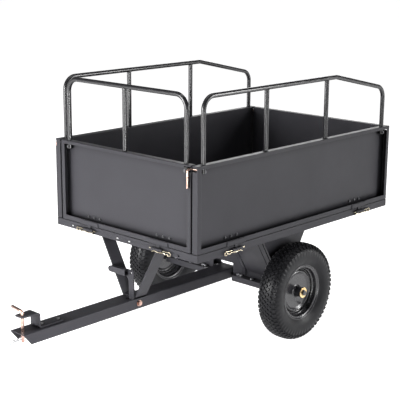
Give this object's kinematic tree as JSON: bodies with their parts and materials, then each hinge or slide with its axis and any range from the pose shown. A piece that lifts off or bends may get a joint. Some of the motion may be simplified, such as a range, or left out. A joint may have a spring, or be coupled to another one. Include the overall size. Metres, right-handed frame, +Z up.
{
  "type": "tow behind cart",
  "caption": "Two-wheeled steel tow behind garden cart with a tipping bed, fold-down walls, tubular top rails, a channel drawbar with pin hitch and knobbly pneumatic tyres.",
  "frame": {"origin": "on the ground under the middle of the whole cart's length and width", "axes": "+Z up, -Y towards the drawbar's tip, +X to the cart's left when it is towed, seen from the front as right"},
  "size_m": [0.864, 1.814, 1.0885],
  "materials": {
    "powder_coat": "satin graphite powder coat",
    "floor_coat": "satin black powder coat",
    "rim_coat": "semi-gloss graphite paint",
    "tyre_rubber": "moulded tread rubber",
    "black_rubber": "matt",
    "black_nylon": "matt moulded nylon",
    "copper_plate": "copper-tinted plating",
    "yellow_zinc": "yellow passivated zinc",
    "washer_brass": "turned",
    "zinc_plate": "bright zinc",
    "dull_zinc": "dulled zinc",
    "black_oxide": "black oxide"
  },
  "bodies": {
    "drawbar": {"drawbar": "powder_coat", "drawbar_bushes": "black_nylon", "hitch_bracket": "powder_coat", "hitch_bolts": "black_oxide", "latch_bolt": "copper_plate", "latch_spring": "zinc_plate"},
    "hitch_pin": {"hitch_pin": "copper_plate", "hitch_pin_clip": "yellow_zinc"},
    "latch": {"latch_lever": "powder_coat", "latch_pedal": "powder_coat"},
    "bed": {"floor_pan": "floor_coat", "front_skirt": "powder_coat", "rear_skirt": "powder_coat", "side_skirts": "powder_coat", "floor_ribs": "floor_coat", "tipping_brace": "powder_coat", "brace_bolts": "zinc_plate", "axle_bracket_left": "powder_coat", "axle_bracket_right": "powder_coat", "axle_crosspieces": "powder_coat", "axle_channels": "powder_coat", "axle_saddles": "powder_coat", "axle_bolts": "zinc_plate", "axle_shaft": "zinc_plate", "axle_washers": "washer_brass", "cotter_pins": "zinc_plate", "hinge_lugs": "powder_coat", "hinge_clips": "yellow_zinc"},
    "wheel_left": {"tyre_left": "tyre_rubber", "rim_left": "rim_coat", "hub_left": "powder_coat", "bearings_left": "zinc_plate", "valve_left": "black_rubber"},
    "wheel_right": {"tyre_right": "tyre_rubber", "rim_right": "rim_coat", "hub_right": "powder_coat", "bearings_right": "zinc_plate", "valve_right": "black_rubber"},
    "front_wall": {"front_wall": "powder_coat", "front_rail": "powder_coat", "front_hinge_leaves": "powder_coat", "front_wall_bolts": "dull_zinc"},
    "tailgate": {"tailgate": "powder_coat", "tailgate_hinge_leaves": "powder_coat", "tailgate_bolts": "dull_zinc"},
    "right_wall": {"right_wall": "powder_coat", "right_rail": "powder_coat", "right_hinge_leaves": "powder_coat", "right_wall_bolts": "dull_zinc"},
    "left_wall": {"left_wall": "powder_coat", "left_rail": "powder_coat", "left_hinge_leaves": "powder_coat", "left_wall_bolts": "dull_zinc"},
    "front_right_latch": {"front_right_latch": "copper_plate"},
    "front_left_latch": {"front_left_latch": "copper_plate"},
    "rear_right_latch": {"rear_right_latch": "copper_plate"},
    "rear_left_latch": {"rear_left_latch": "copper_plate"}
  },
  "joints": [
    {"name": "bed_dump", "type": "hinge", "parent": "drawbar", "child": "bed", "pos_m": [0, 0.275, 0.205], "axis": [-1, 0, 0], "range_deg": [0, 38]},
    {"name": "wheel_left_spin", "type": "hinge", "parent": "bed", "child": "wheel_left", "pos_m": [-0.381, 0.275, 0.205], "axis": [1, 0, 0], "continuous": true},
    {"name": "wheel_right_spin", "type": "hinge", "parent": "bed", "child": "wheel_right", "pos_m": [0.381, 0.275, 0.205], "axis": [1, 0, 0], "continuous": true},
    {"name": "latch_pedal_swing", "type": "hinge", "parent": "drawbar", "child": "latch", "pos_m": [0, -0.299, 0.2115], "axis": [1, 0, 0], "range_deg": [0, 25], "stiffness_Nm_per_rad": 2, "springref_deg": -17.19},
    {"name": "hitch_pin_swivel", "type": "hinge", "parent": "drawbar", "child": "hitch_pin", "pos_m": [0, -0.845, 0.232], "axis": [0, 0, 1], "range_deg": [-65, 65]},
    {"name": "front_wall_fold", "type": "hinge", "parent": "bed", "child": "front_wall", "pos_m": [0, -0.351, 0.478], "axis": [1, 0, 0], "range_deg": [0, 90]},
    {"name": "tailgate_fold", "type": "hinge", "parent": "bed", "child": "tailgate", "pos_m": [0, 0.901, 0.478], "axis": [-1, 0, 0], "range_deg": [0, 110]},
    {"name": "right_wall_fold", "type": "hinge", "parent": "bed", "child": "right_wall", "pos_m": [0.4095, 0.275, 0.478], "axis": [0, 1, 0], "range_deg": [0, 90]},
    {"name": "left_wall_fold", "type": "hinge", "parent": "bed", "child": "left_wall", "pos_m": [-0.4095, 0.275, 0.478], "axis": [0, -1, 0], "range_deg": [0, 90]},
    {"name": "front_right_latch_slide", "type": "slide", "parent": "front_wall", "child": "front_right_latch", "axis": [-1, 0, 0], "range_m": [0, 0.0125]},
    {"name": "front_left_latch_slide", "type": "slide", "parent": "left_wall", "child": "front_left_latch", "axis": [-1, 0, 0], "range_m": [0, 0.016]},
    {"name": "rear_right_latch_slide", "type": "slide", "parent": "tailgate", "child": "rear_right_latch", "axis": [-1, 0, 0], "range_m": [0, 0.0125]},
    {"name": "rear_left_latch_slide", "type": "slide", "parent": "tailgate", "child": "rear_left_latch", "axis": [1, 0, 0], "range_m": [0, 0.0125]}
  ]
}
